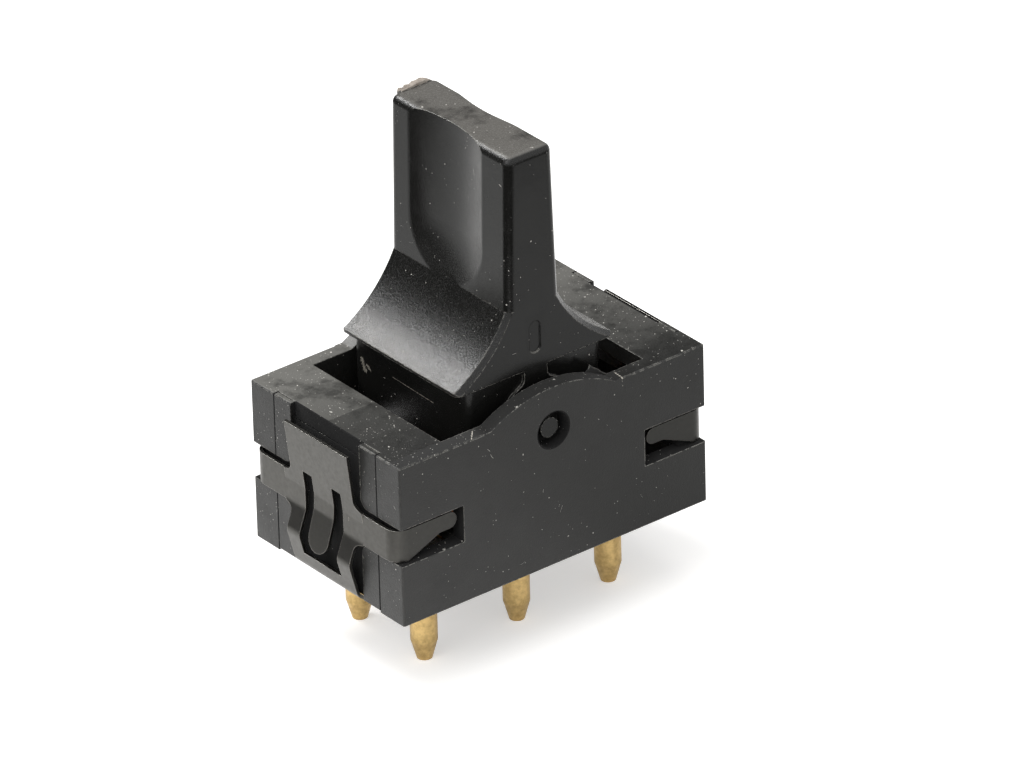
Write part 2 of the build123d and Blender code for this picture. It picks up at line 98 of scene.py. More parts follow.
def dustOn(material, at, amount):               # amount 0 is clean, and 1 is a crumb in every cell
    wobble = addNode(material, "ShaderNodeTexNoise", {"Vector": at, "Scale": perMetre(dustLook["wobble mm"]),
                                                      "Detail": 2.0})
    centred = addNode(material, "ShaderNodeVectorMath", {0: wobble.outputs["Color"], 1: (0.5, 0.5, 0.5)},
                      operation="SUBTRACT")
    shift = addNode(material, "ShaderNodeVectorMath", {0: centred, "Scale": dustLook["wobble depth mm"] * mm},
                    operation="SCALE")
    loose = addNode(material, "ShaderNodeVectorMath", {0: at, 1: shift}, operation="ADD")
    threshold = addNode(material, "ShaderNodeMath", {0: 1.0, 1: amount}, operation="SUBTRACT")
    dust = None
    for spacing, radius in dustLook["crumbs mm"]:
        cells = addNode(material, "ShaderNodeTexVoronoi", {"Vector": loose, "Scale": perMetre(spacing)})
        chance = addNode(material, "ShaderNodeSeparateColor", {0: cells.outputs["Color"]})
        over = addNode(material, "ShaderNodeMath", {0: chance.outputs[0], 1: threshold}, operation="SUBTRACT")
        picked = addNode(material, "ShaderNodeMath", {0: over, 1: dustLook["onset"]}, operation="MULTIPLY",
                         use_clamp=True)
        size = addNode(material, "ShaderNodeMath", {0: picked, 1: radius / spacing}, operation="MULTIPLY")
        inside = addNode(material, "ShaderNodeMath", {0: size, 1: cells.outputs["Distance"]},
                         operation="SUBTRACT")
        crumb = addNode(material, "ShaderNodeMath", {0: inside, 1: spacing / dustLook["rim mm"]},
                        operation="MULTIPLY", use_clamp=True)
        dust = crumb if dust is None else addNode(material, "ShaderNodeMath", {0: dust, 1: crumb},
                                                  operation="MAXIMUM")
    curl = addNode(material, "ShaderNodeTexNoise", {"Vector": at, "Scale": perMetre(dustLook["hair mm"]),
                                                    "Detail": 0.0, "Distortion": dustLook["hair curl"]})
    line = addNode(material, "ShaderNodeMath", {0: curl, 1: 0.5, 2: dustLook["hair width"]},
                   operation="COMPARE")
    patch = addNode(material, "ShaderNodeTexNoise", {"Vector": at, "Detail": 1.0,
                                                     "Scale": perMetre(dustLook["hair patch mm"])})
    few = addNode(material, "ShaderNodeMath", {0: patch, 1: dustLook["hair patch from"]},
                  operation="GREATER_THAN")
    hair = addNode(material, "ShaderNodeMath", {0: line, 1: few}, operation="MULTIPLY")
    return addNode(material, "ShaderNodeMath", {0: dust, 1: hair}, operation="MAXIMUM")


edgeLook = {"samples": 4, "turn": (0.98, 0.86)}     # the turn from as good as flat to a full corner


def edgesOf(material, widthMm):                 # softened normals, and where a corner turns
    rounded = addNode(material, "ShaderNodeBevel", {"Radius": widthMm * mm}, samples=edgeLook["samples"])
    flat = addNode(material, "ShaderNodeNewGeometry")
    turn = addNode(material, "ShaderNodeVectorMath", {0: rounded, 1: flat.outputs["Normal"]},
                   operation="DOT_PRODUCT")
    corner = addNode(material, "ShaderNodeMapRange", {"Value": turn, "From Min": edgeLook["turn"][0],
                                                      "From Max": edgeLook["turn"][1]})
    return rounded, corner


# Black ABS, injection moulded: satin black that mirrors the room softly, a fine eroded grain that glitters where
# a lamp is mirrored, edges rubbed grey, and pale dust and fluff, thickest on what faces up
housingLook = {
    "plastic": "#171716", "greyed": "#1d1d1b", "rubbed": "#9c9a93", "dust": "#cbc8c1", "IOR": 1.53,
    "specular": 0.5, "roughness": 0.43, "roughness spread": (-0.05, 0.08), "least roughness": 0.09,
    "dust roughness": 0.6, "sparkle": 0.25, "edge mm": 0.16, "chip mm": 0.35, "chipped": (0.42, 0.52),
    "waves mm": 5.0, "waves depth mm": 0.012, "waves strength": 0.35, "grain mm": 0.17, "grain depth mm": 0.035,
    "grain": 0.8, "upright grain": 0.8, "grain facing": (0.1, 0.4), "cloud mm": 3.2, "cloud": (0.36, 0.64),
    "gathered": (0.35, 1.5), "film share": 0.72, "film facing": (0.75, 0.97), "dust share": 0.25,
    "dust share on top": 0.9, "dust facing": (0.6, 0.97), "dust depth mm": 0.04, "dust bump": 0.7,
}
leverLook = dict(housingLook, plastic="#121211", greyed="#181817", specular=0.35, roughness=0.18, sparkle=1.5)
leverLook.update({"grain mm": 0.15, "grain depth mm": 0.045, "upright grain": 0.2, "film share": 0.8,
                  "dust share": 0.24, "dust share on top": 0.35})


def mouldedAbs(name, look, paint):              # facing is 1 on what faces up and 0 on what stands upright
    material = newMaterial(name)
    texture = addNode(material, "ShaderNodeTexCoord")
    at = texture.outputs["Object"]
    facing = addNode(material, "ShaderNodeSeparateXYZ", {0: texture.outputs["Normal"]}).outputs["Z"]
    low, high = look["film facing"]
    up = addNode(material, "ShaderNodeMapRange", {"Value": facing, "From Min": low, "From Max": high})
    waves = addNode(material, "ShaderNodeTexNoise", {"Vector": at, "Scale": perMetre(look["waves mm"]),
                                                     "Detail": 3.0})
    cloud = addNode(material, "ShaderNodeTexNoise", {"Vector": at, "Scale": perMetre(look["cloud mm"]),
                                                     "Detail": 5.0, "Roughness": 0.68})
    grain = addNode(material, "ShaderNodeTexNoise", {"Vector": at, "Scale": perMetre(look["grain mm"]),
                                                     "Detail": 3.0, "Roughness": 0.65})
    low, high = look["cloud"]
    least, most = look["gathered"]
    gathered = addNode(material, "ShaderNodeMapRange", {"Value": cloud, "From Min": low, "From Max": high,
                                                        "To Min": least, "To Max": most})
    low, high = look["dust facing"]
    lying = addNode(material, "ShaderNodeMapRange", {"Value": facing, "From Min": low, "From Max": high,
                                                     "To Min": look["dust share"],
                                                     "To Max": look["dust share on top"]})
    amount = addNode(material, "ShaderNodeMath", {0: lying, 1: gathered}, operation="MULTIPLY", use_clamp=True)
    dust = dustOn(material, at, amount)
    rounded, corner = edgesOf(material, look["edge mm"])
    worn = addNode(material, "ShaderNodeMath", {0: corner, 1: gathered}, operation="MULTIPLY", use_clamp=True)
    body = addNode(material, "ShaderNodeMix", {0: waves, 6: linearColour(look["plastic"]),
                                               7: linearColour(look["greyed"])}, data_type="RGBA")
    hazed = addNode(material, "ShaderNodeMath", {0: up, 1: gathered}, operation="MULTIPLY", use_clamp=True)
    film = addNode(material, "ShaderNodeMath", {0: hazed, 1: look["film share"]}, operation="MULTIPLY")
    chips = addNode(material, "ShaderNodeTexNoise", {"Vector": at, "Scale": perMetre(look["chip mm"]),
                                                     "Detail": 3.0})
    low, high = look["chipped"]
    chipped = addNode(material, "ShaderNodeMapRange", {"Value": chips, "From Min": low, "From Max": high})
    wear = addNode(material, "ShaderNodeMath", {0: worn, 1: chipped}, operation="MULTIPLY")
    body = addNode(material, "ShaderNodeMix", {0: wear, 6: body, 7: linearColour(look["rubbed"])},
                   data_type="RGBA")
    # paint also returns a mask of seam dirt and painted shade, which roughens the surface
    body, dirtAndShade = paint(material, at, body, film)
    colour = addNode(material, "ShaderNodeMix", {0: dust, 6: body, 7: linearColour(look["dust"])},
                     data_type="RGBA")
    smoother, rougher = look["roughness spread"]
    gloss = addNode(material, "ShaderNodeMapRange", {"Value": cloud, "From Min": 0.3, "From Max": 0.7,
                                                     "To Min": look["roughness"] + smoother,
                                                     "To Max": look["roughness"] + rougher})
    dulled = addNode(material, "ShaderNodeMath", {0: dust, 1: dirtAndShade}, operation="MAXIMUM")
    low, high = look["grain facing"]
    coarse = addNode(material, "ShaderNodeMapRange", {"Value": facing, "From Min": low, "From Max": high,
                                                      "To Min": look["upright grain"],
                                                      "To Max": look["grain"]})
    eroded = addNode(material, "ShaderNodeMath", {0: grain, 1: 0.5}, operation="SUBTRACT")
    eroded = addNode(material, "ShaderNodeMath", {0: eroded, 1: look["sparkle"]}, operation="MULTIPLY")
    gloss = addNode(material, "ShaderNodeMath", {0: eroded, 1: coarse, 2: gloss}, operation="MULTIPLY_ADD")
    gloss = addNode(material, "ShaderNodeMath", {0: gloss, 1: look["least roughness"]}, operation="MAXIMUM")
    rough = addNode(material, "ShaderNodeMath", {0: dulled, 1: look["dust roughness"], 2: gloss},
                    operation="MULTIPLY_ADD", use_clamp=True)
    normal = addNode(material, "ShaderNodeBump", {"Height": waves, "Distance": look["waves depth mm"] * mm,
                                                  "Strength": look["waves strength"], "Normal": rounded})
    normal = addNode(material, "ShaderNodeBump", {"Height": grain, "Distance": look["grain depth mm"] * mm,
                                                  "Strength": coarse, "Normal": normal})
    normal = addNode(material, "ShaderNodeBump", {"Height": dust, "Distance": look["dust depth mm"] * mm,
                                                  "Strength": look["dust bump"], "Normal": normal})
    shader = addNode(material, "ShaderNodeBsdfPrincipled", {"Base Color": colour, "Roughness": rough,
                                                            "Normal": normal, "IOR": look["IOR"],
                                                            "Specular IOR Level": look["specular"]})
    addNode(material, "ShaderNodeOutputMaterial", {"Surface": shader})
    return material


raggedSides = {"patch mm": 0.16, "noise": (0.36, 0.6), "fullest": 1.6}     # fullest is a share of a mark's width


def paleMarks(material, at, marks):             # scuffs, slivers and fluff, each a short line with ragged sides
    ragged = addNode(material, "ShaderNodeTexNoise", {"Vector": at, "Scale": perMetre(raggedSides["patch mm"]),
                                                      "Detail": 2.0})
    low, high = raggedSides["noise"]
    found = None
    for start, end, width, flatten in marks:
        first, last = (Vector(point) * Vector(flatten) * mm for point in (start, end))
        along = last - first
        shown = addNode(material, "ShaderNodeVectorMath", {0: at, 1: flatten}, operation="MULTIPLY")
        away = addNode(material, "ShaderNodeVectorMath", {0: shown, 1: tuple(first)}, operation="SUBTRACT")
        share = addNode(material, "ShaderNodeVectorMath", {0: away, 1: tuple(along / along.length_squared)},
                        operation="DOT_PRODUCT").outputs["Value"]
        held = addNode(material, "ShaderNodeClamp", {"Value": share})
        beside = addNode(material, "ShaderNodeVectorMath", {0: tuple(along), "Scale": held},
                         operation="SCALE")
        gap = addNode(material, "ShaderNodeVectorMath", {0: away, 1: beside},
                      operation="DISTANCE").outputs["Value"]
        wide = addNode(material, "ShaderNodeMapRange", {"Value": ragged, "From Min": low, "From Max": high,
                                                        "To Max": raggedSides["fullest"] * width * mm})
        mark = addNode(material, "ShaderNodeMath", {0: gap, 1: wide}, operation="LESS_THAN")
        found = mark if found is None else addNode(material, "ShaderNodeMath", {0: found, 1: mark},
                                                   operation="MAXIMUM")
    return found


housingMarks = {
    # the dark colour is dirt in the seams and painted shade in the grooves, the pocket and the pivot hole
    "dirtAndShade": "#040404", "seam y mm": 7.33, "seam width mm": 0.1, "end x mm": 16.7,
    "film": "#656460", "film near and far": (0.02, 1.6),        # shares along Y
    "clean strip mm": ((-17.4, -11.4), (-11.0, 0.25)), "clean strip film": 0.45,
    "hole mm": (1.05, 1.88), "pivot above underside mm": 13.6,
    "groove above underside mm": (5.3, 10.2), "groove x mm": 9.0, "groove out mm": (17.22, 10.66),
    "pocket x mm": (16.6, 16.95), "pocket y mm": 4.97,
    "wall top x mm": 8.2, "wall top y mm": (-10.7, -9.15), "wall top darkening": 0.4, "pale": "#bdb8ad",
    "marks mm": [   # start, end, width, and the axis that hardly counts
        ((7.99, -9.51, 24.35), (7.9, -10.71, 24.35), 0.06, (1.0, 1.0, 0.1)),
        ((-8.2, -9.6, 24.35), (-9.1, -10.6, 24.35), 0.035, (1.0, 1.0, 0.1)),
    ],
}


def holePaintedShade(material, split):                  # painted shade: black round the nub in the pivot hole, standing in for the deep hole's shadow
    inner, outer = (value * mm for value in housingMarks["hole mm"])
    rise = addNode(material, "ShaderNodeMath", {0: split.outputs["Z"],
                                                1: underside + housingMarks["pivot above underside mm"] * mm},
                   operation="SUBTRACT")
    flat = addNode(material, "ShaderNodeCombineXYZ", {"X": split.outputs["X"], "Y": rise})
    away = addNode(material, "ShaderNodeVectorMath", {0: flat}, operation="LENGTH")
    return addNode(material, "ShaderNodeMath", {0: away, 1: (inner + outer) / 2, 2: (outer - inner) / 2},
                   operation="COMPARE")


def paintHousing(material, at, body, film):     # dirt in the seams, painted shade in the arm grooves, the pocket behind the clip and the pivot hole, the near wall's top darkened, and dust wiped off one strip of the top
    split = addNode(material, "ShaderNodeSeparateXYZ", {0: at})
    out = addNode(material, "ShaderNodeMath", {0: split.outputs["X"]}, operation="ABSOLUTE")
    aside = addNode(material, "ShaderNodeMath", {0: split.outputs["Y"]}, operation="ABSOLUTE")
    (xLow, xHigh), (yLow, yHigh) = housingMarks["clean strip mm"]
    wiped = addNode(material, "ShaderNodeMath", {0: split.outputs["X"], 1: (xLow + xHigh) / 2 * mm,
                                                 2: (xHigh - xLow) / 2 * mm}, operation="COMPARE")
    nearer = addNode(material, "ShaderNodeMath", {0: split.outputs["Y"], 1: (yLow + yHigh) / 2 * mm,
                                                  2: (yHigh - yLow) / 2 * mm}, operation="COMPARE")
    wiped = addNode(material, "ShaderNodeMath", {0: wiped, 1: nearer}, operation="MULTIPLY")
    left = addNode(material, "ShaderNodeMapRange", {"Value": wiped, "To Min": 1.0,
                                                    "To Max": housingMarks["clean strip film"]})
    film = addNode(material, "ShaderNodeMath", {0: film, 1: left}, operation="MULTIPLY")
    near, far = housingMarks["film near and far"]
    thicker = addNode(material, "ShaderNodeMapRange", {"Value": split.outputs["Y"],
                                                       "From Min": coverLow.y, "From Max": coverHigh.y,
                                                       "To Min": near, "To Max": far})
    film = addNode(material, "ShaderNodeMath", {0: film, 1: thicker}, operation="MULTIPLY", use_clamp=True)
    body = addNode(material, "ShaderNodeMix", {0: film, 6: body, 7: linearColour(housingMarks["film"])},
                   data_type="RGBA")
    seam = addNode(material, "ShaderNodeMath", {0: aside, 1: housingMarks["seam y mm"] * mm,
                                                2: housingMarks["seam width mm"] * mm}, operation="COMPARE")
    atEnd = addNode(material, "ShaderNodeMath", {0: out, 1: housingMarks["end x mm"] * mm},
                    operation="GREATER_THAN")
    line = addNode(material, "ShaderNodeMath", {0: seam, 1: atEnd}, operation="MULTIPLY")
    # painted shade: the grooves under the clip's arms are painted black
    low, high = (underside + value * mm for value in housingMarks["groove above underside mm"])
    inGroove = addNode(material, "ShaderNodeMath", {0: split.outputs["Z"], 1: (low + high) / 2,
                                                    2: (high - low) / 2}, operation="COMPARE")
    limits = ((out, housingMarks["groove out mm"][0], "LESS_THAN"),
              (aside, housingMarks["groove out mm"][1], "LESS_THAN"),
              (out, housingMarks["groove x mm"], "GREATER_THAN"))
    for value, limit, side in limits:
        within = addNode(material, "ShaderNodeMath", {0: value, 1: limit * mm}, operation=side)
        inGroove = addNode(material, "ShaderNodeMath", {0: inGroove, 1: within}, operation="MULTIPLY")
    # painted shade: the pocket behind the clip's tab is painted black
    xLow, xHigh = (value * mm for value in housingMarks["pocket x mm"])
    inPocket = addNode(material, "ShaderNodeMath", {0: out, 1: (xLow + xHigh) / 2, 2: (xHigh - xLow) / 2},
                       operation="COMPARE")
    within = addNode(material, "ShaderNodeMath", {0: aside, 1: housingMarks["pocket y mm"] * mm},
                     operation="LESS_THAN")
    inPocket = addNode(material, "ShaderNodeMath", {0: inPocket, 1: within}, operation="MULTIPLY")
    # the near wall's top is darkened by a share of the dark colour
    onWall = addNode(material, "ShaderNodeMath", {0: split.outputs["Z"], 1: coverTop},
                     operation="GREATER_THAN")
    within = addNode(material, "ShaderNodeMath", {0: split.outputs["X"], 1: housingMarks["wall top x mm"] * mm},
                     operation="LESS_THAN")
    onWall = addNode(material, "ShaderNodeMath", {0: onWall, 1: within}, operation="MULTIPLY")
    yLow, yHigh = housingMarks["wall top y mm"]
    within = addNode(material, "ShaderNodeMath", {0: split.outputs["Y"], 1: (yLow + yHigh) / 2 * mm,
                                                  2: (yHigh - yLow) / 2 * mm}, operation="COMPARE")
    onWall = addNode(material, "ShaderNodeMath", {0: onWall, 1: within}, operation="MULTIPLY")
    onWall = addNode(material, "ShaderNodeMath", {0: onWall, 1: housingMarks["wall top darkening"]},
                     operation="MULTIPLY")
    # seam dirt joined with the painted shade in grooves, pocket and pivot hole, and the darker wall top
    dirtAndShade = addNode(material, "ShaderNodeMath", {0: line, 1: inGroove}, operation="MAXIMUM")
    dirtAndShade = addNode(material, "ShaderNodeMath", {0: dirtAndShade, 1: onWall}, operation="MAXIMUM")
    dirtAndShade = addNode(material, "ShaderNodeMath", {0: dirtAndShade, 1: inPocket}, operation="MAXIMUM")
    dirtAndShade = addNode(material, "ShaderNodeMath", {0: dirtAndShade, 1: holePaintedShade(material, split)}, operation="MAXIMUM")
    body = addNode(material, "ShaderNodeMix", {0: dirtAndShade, 6: body, 7: linearColour(housingMarks["dirtAndShade"])},
                   data_type="RGBA")
    pale = paleMarks(material, at, housingMarks["marks mm"])
    return addNode(material, "ShaderNodeMix", {0: pale, 6: body, 7: linearColour(housingMarks["pale"])},
                   data_type="RGBA"), dirtAndShade


leverMarks = {
    "film": "#6b6965", "emblem mm": ((-1.1, 1.1), (-9.0, -8.0), (29.0, 32.6)), "pale": "#77736b",
    "flash": "#c4bdb3", "flash red": "#6b5d53", "flash height mm": 0.3, "flash starts mm": (0.01, 0.05),
    "stain mm": 0.5,
    "marks mm": [   # start, end, width, and the axis that hardly counts
        ((-7.8, 2.28, 24.61), (-7.8, -3.49, 24.47), 0.03, (0.1, 1.0, 1.0)),
        ((-7.8, 6.3, 23.6), (-7.8, 6.74, 24.5), 0.2, (0.1, 1.0, 1.0)),
        ((-7.8, 5.6, 24.0), (-7.8, 6.1, 24.2), 0.12, (0.1, 1.0, 1.0)),
    ],
}


def paintLever(material, at, body, film):       # the torn flash on the blade's top is thin, so it looks pale
    split = addNode(material, "ShaderNodeSeparateXYZ", {0: at})
    body = addNode(material, "ShaderNodeMix", {0: film, 6: body, 7: linearColour(leverMarks["film"])},
                   data_type="RGBA")
    inEmblem = None
    for axis, (low, high) in zip("XYZ", leverMarks["emblem mm"]):       # the moulded mark isn't rubbed
        within = addNode(material, "ShaderNodeMath", {0: split.outputs[axis], 1: (low + high) / 2 * mm,
                                                      2: (high - low) / 2 * mm}, operation="COMPARE")
        inEmblem = within if inEmblem is None else addNode(material, "ShaderNodeMath",
                                                           {0: inEmblem, 1: within}, operation="MULTIPLY")
    body = addNode(material, "ShaderNodeMix", {0: inEmblem, 6: body, 7: linearColour(leverLook["plastic"])},
                   data_type="RGBA")
    # painted shade: the lever's journal ring inside the pivot hole is painted black
    dirtAndShade = holePaintedShade(material, split)
    body = addNode(material, "ShaderNodeMix", {0: dirtAndShade, 6: body, 7: linearColour(housingMarks["dirtAndShade"])},
                   data_type="RGBA")
    pale = paleMarks(material, at, leverMarks["marks mm"])
    body = addNode(material, "ShaderNodeMix", {0: pale, 6: body, 7: linearColour(leverMarks["pale"])},
                   data_type="RGBA")
    bladeTop = leverTop - leverMarks["flash height mm"] * mm
    low, high = (bladeTop + value * mm for value in leverMarks["flash starts mm"])
    flash = addNode(material, "ShaderNodeMapRange", {"Value": split.outputs["Z"], "From Min": low,
                                                     "From Max": high})
    stain = addNode(material, "ShaderNodeTexNoise", {"Vector": at, "Scale": perMetre(leverMarks["stain mm"]),
                                                     "Detail": 3.0})
    torn = addNode(material, "ShaderNodeMix", {0: stain, 6: linearColour(leverMarks["flash"]),
                                               7: linearColour(leverMarks["flash red"])}, data_type="RGBA")
    return addNode(material, "ShaderNodeMix", {0: flash, 6: body, 7: torn}, data_type="RGBA"), dirtAndShade


# Spring steel strip, stamped and blued black in oil: an even, satin grey black, with a painted highlight along
# the sheared rims and painted shade on the arms
clipLook = {"oxide": "#595855", "oiled": "#4e4d4a", "oil mm": 0.45, "rim": "#a5a29c", "rim highlight share": 0.85,
            "rim mm": 0.08, "dust": "#b1aa9c", "dust share": 0.14, "roughness": 0.36,
            "roughness spread": (-0.04, 0.08), "rolling mm": 0.3, "rolling stretch": 0.15,
            "rolling depth mm": 0.004, "arm": "#3a3a39", "arm mm": (10.0, 10.55), "arm share": 0.8}


def bluedSpringSteel(name, look):
    material = newMaterial(name)
    at = addNode(material, "ShaderNodeTexCoord").outputs["Object"]
    rolled = addNode(material, "ShaderNodeMapping", {"Vector": at,
                                                     "Scale": (1.0, 1.0, look["rolling stretch"])})
    rolling = addNode(material, "ShaderNodeTexNoise", {"Vector": rolled, "Detail": 3.0, "Roughness": 0.6,
                                                       "Scale": perMetre(look["rolling mm"])})
    film = addNode(material, "ShaderNodeTexNoise", {"Vector": at, "Scale": perMetre(look["oil mm"]),
                                                    "Detail": 4.0, "Roughness": 0.7})
    rounded, corner = edgesOf(material, look["rim mm"])
    metal = addNode(material, "ShaderNodeMix", {0: film, 6: linearColour(look["oxide"]),
                                                7: linearColour(look["oiled"])}, data_type="RGBA")
    # painted highlight: the sheet's rims are painted pale
    rim = addNode(material, "ShaderNodeMath", {0: corner, 1: look["rim highlight share"]}, operation="MULTIPLY")
    metal = addNode(material, "ShaderNodeMix", {0: rim, 6: metal, 7: linearColour(look["rim"])},
                    data_type="RGBA")
    # painted shade: the clip's arms are painted darker
    across = addNode(material, "ShaderNodeSeparateXYZ", {0: at}).outputs["Y"]
    aside = addNode(material, "ShaderNodeMath", {0: across}, operation="ABSOLUTE")
    low, high = (value * mm for value in look["arm mm"])
    shadedArmMask = addNode(material, "ShaderNodeMapRange", {"Value": aside, "From Min": low, "From Max": high,
                                                     "To Max": look["arm share"]})
    metal = addNode(material, "ShaderNodeMix", {0: shadedArmMask, 6: metal, 7: linearColour(look["arm"])},
                    data_type="RGBA")
    dust = dustOn(material, at, look["dust share"])
    colour = addNode(material, "ShaderNodeMix", {0: dust, 6: metal, 7: linearColour(look["dust"])},
                     data_type="RGBA")
    smoother, rougher = look["roughness spread"]
    rough = addNode(material, "ShaderNodeMapRange", {"Value": film, "From Min": 0.3, "From Max": 0.7,
                                                     "To Min": look["roughness"] + smoother,
                                                     "To Max": look["roughness"] + rougher})
    metallic = addNode(material, "ShaderNodeMath", {0: 1.0, 1: dust}, operation="SUBTRACT")
    normal = addNode(material, "ShaderNodeBump", {"Height": rolling, "Distance": look["rolling depth mm"] * mm,
                                                  "Strength": 0.6, "Normal": rounded})
    shader = addNode(material, "ShaderNodeBsdfPrincipled", {"Base Color": colour, "Roughness": rough,
                                                            "Metallic": metallic, "Normal": normal})
    addNode(material, "ShaderNodeOutputMaterial", {"Surface": shader})
    return material


# Brass rod, turned: pale yellow dulled by handling, with fine rings and small specks of brown tarnish
pinLook = {"brass": "#d3b57b", "tarnish": "#9c8355", "tarnished": (0.4, 0.8), "tarnish share": 0.7,
           "roughness": 0.36, "roughness spread": (-0.05, 0.15), "patch mm": 0.45, "patch depth mm": 0.015,
           "turning mm": 0.16, "turning stretch": 0.15, "turning depth mm": 0.006, "edge mm": 0.12,
           "worn point mm": (2.2, 3.08), "worn point": 0.14}


def turnedBrass(name, look):
    material = newMaterial(name)
    at = addNode(material, "ShaderNodeTexCoord").outputs["Object"]
    around = look["turning stretch"]
    rings = addNode(material, "ShaderNodeMapping", {"Vector": at, "Scale": (around, around, 1.0)})
    turning = addNode(material, "ShaderNodeTexNoise", {"Vector": rings, "Detail": 2.0,
                                                       "Scale": perMetre(look["turning mm"])})
    patches = addNode(material, "ShaderNodeTexNoise", {"Vector": at, "Scale": perMetre(look["patch mm"]),
                                                       "Detail": 5.0, "Roughness": 0.65})
    rise = addNode(material, "ShaderNodeSeparateXYZ", {0: at}).outputs["Z"]
    low, high = (value * mm for value in look["worn point mm"])
    worn = addNode(material, "ShaderNodeMapRange", {"Value": rise, "From Min": low, "From Max": high,
                                                    "To Min": look["worn point"], "To Max": 0.0})
    handled = addNode(material, "ShaderNodeMath", {0: patches, 1: worn}, operation="ADD")
    low, high = look["tarnished"]
    tarnished = addNode(material, "ShaderNodeMapRange", {"Value": handled, "From Min": low, "From Max": high,
                                                         "To Max": look["tarnish share"]})
    colour = addNode(material, "ShaderNodeMix", {0: tarnished, 6: linearColour(look["brass"]),
                                                 7: linearColour(look["tarnish"])}, data_type="RGBA")
    smoother, rougher = look["roughness spread"]
    rough = addNode(material, "ShaderNodeMapRange", {"Value": patches, "From Min": 0.35, "From Max": 0.7,
                                                     "To Min": look["roughness"] + smoother,
                                                     "To Max": look["roughness"] + rougher})
    rounded = addNode(material, "ShaderNodeBevel", {"Radius": look["edge mm"] * mm},
                      samples=edgeLook["samples"])
    normal = addNode(material, "ShaderNodeBump", {"Height": turning, "Distance": look["turning depth mm"] * mm,
                                                  "Strength": 0.5, "Normal": rounded})
    normal = addNode(material, "ShaderNodeBump", {"Height": patches, "Distance": look["patch depth mm"] * mm,
                                                  "Strength": 0.15, "Normal": normal})
    shader = addNode(material, "ShaderNodeBsdfPrincipled", {"Base Color": colour, "Roughness": rough,
                                                            "Metallic": 1.0, "Normal": normal})
    addNode(material, "ShaderNodeOutputMaterial", {"Surface": shader})
    return material


# Metals inside the switch, all slightly dulled: stamped copper strip, silver rivets and drawn spring wire
innerLooks = {
    "stampedCopper": {"metal": "#c98663", "tarnish": "#8a5238", "roughness": 0.35, "patch mm": 1.4},
    "silverRivet": {"metal": "#d8d6cf", "tarnish": "#8c8980", "roughness": 0.3, "patch mm": 0.7},
    "drawnSteelWire": {"metal": "#b8b7b3", "tarnish": "#7f7d78", "roughness": 0.28, "patch mm": 0.5},
}
innerSurface = {"tarnished": (0.45, 0.7), "rougher": 0.15, "fine mm": 0.12, "fine depth mm": 0.003}


def innerMetal(name, look):
    material = newMaterial(name)
    at = addNode(material, "ShaderNodeTexCoord").outputs["Object"]
    patches = addNode(material, "ShaderNodeTexNoise", {"Vector": at, "Scale": perMetre(look["patch mm"]),
                                                       "Detail": 4.0, "Roughness": 0.6})
    fine = addNode(material, "ShaderNodeTexNoise", {"Vector": at, "Scale": perMetre(innerSurface["fine mm"]),
                                                    "Detail": 2.0})
    low, high = innerSurface["tarnished"]
    dulled = addNode(material, "ShaderNodeMapRange", {"Value": patches, "From Min": low, "From Max": high})
    colour = addNode(material, "ShaderNodeMix", {0: dulled, 6: linearColour(look["metal"]),
                                                 7: linearColour(look["tarnish"])}, data_type="RGBA")
    rough = addNode(material, "ShaderNodeMapRange", {"Value": patches, "From Min": 0.3, "From Max": 0.7,
                                                     "To Min": look["roughness"],
                                                     "To Max": look["roughness"] + innerSurface["rougher"]})
    normal = addNode(material, "ShaderNodeBump", {"Height": fine, "Strength": 0.4,
                                                  "Distance": innerSurface["fine depth mm"] * mm})
    shader = addNode(material, "ShaderNodeBsdfPrincipled", {"Base Color": colour, "Roughness": rough,
                                                            "Metallic": 1.0, "Normal": normal})
    addNode(material, "ShaderNodeOutputMaterial", {"Surface": shader})
    return material


# Natural acetal, moulded: waxy off-white, greased and a little dirty
plungerLook = {"acetal": "#dcd8cc", "grease": "#a79a80", "greased": (0.5, 0.75), "patch mm": 1.1, "IOR": 1.48,
               "roughness": 0.4, "greased roughness": 0.25, "fine mm": 0.2, "fine depth mm": 0.004}


def mouldedAcetal(name, look):
    material = newMaterial(name)
    at = addNode(material, "ShaderNodeTexCoord").outputs["Object"]
    grease = addNode(material, "ShaderNodeTexNoise", {"Vector": at, "Scale": perMetre(look["patch mm"]),
                                                      "Detail": 3.0})
    fine = addNode(material, "ShaderNodeTexNoise", {"Vector": at, "Scale": perMetre(look["fine mm"]),
                                                    "Detail": 2.0})
    low, high = look["greased"]
    smeared = addNode(material, "ShaderNodeMapRange", {"Value": grease, "From Min": low, "From Max": high})
    colour = addNode(material, "ShaderNodeMix", {0: smeared, 6: linearColour(look["acetal"]),
                                                 7: linearColour(look["grease"])}, data_type="RGBA")
    rough = addNode(material, "ShaderNodeMapRange", {"Value": grease, "From Min": 0.4, "From Max": 0.7,
                                                     "To Min": look["roughness"],
                                                     "To Max": look["greased roughness"]})
    normal = addNode(material, "ShaderNodeBump", {"Height": fine, "Strength": 0.4,
                                                  "Distance": look["fine depth mm"] * mm})
    shader = addNode(material, "ShaderNodeBsdfPrincipled", {"Base Color": colour, "Roughness": rough,
                                                            "Normal": normal, "IOR": look["IOR"]})
    addNode(material, "ShaderNodeOutputMaterial", {"Surface": shader})
    return material


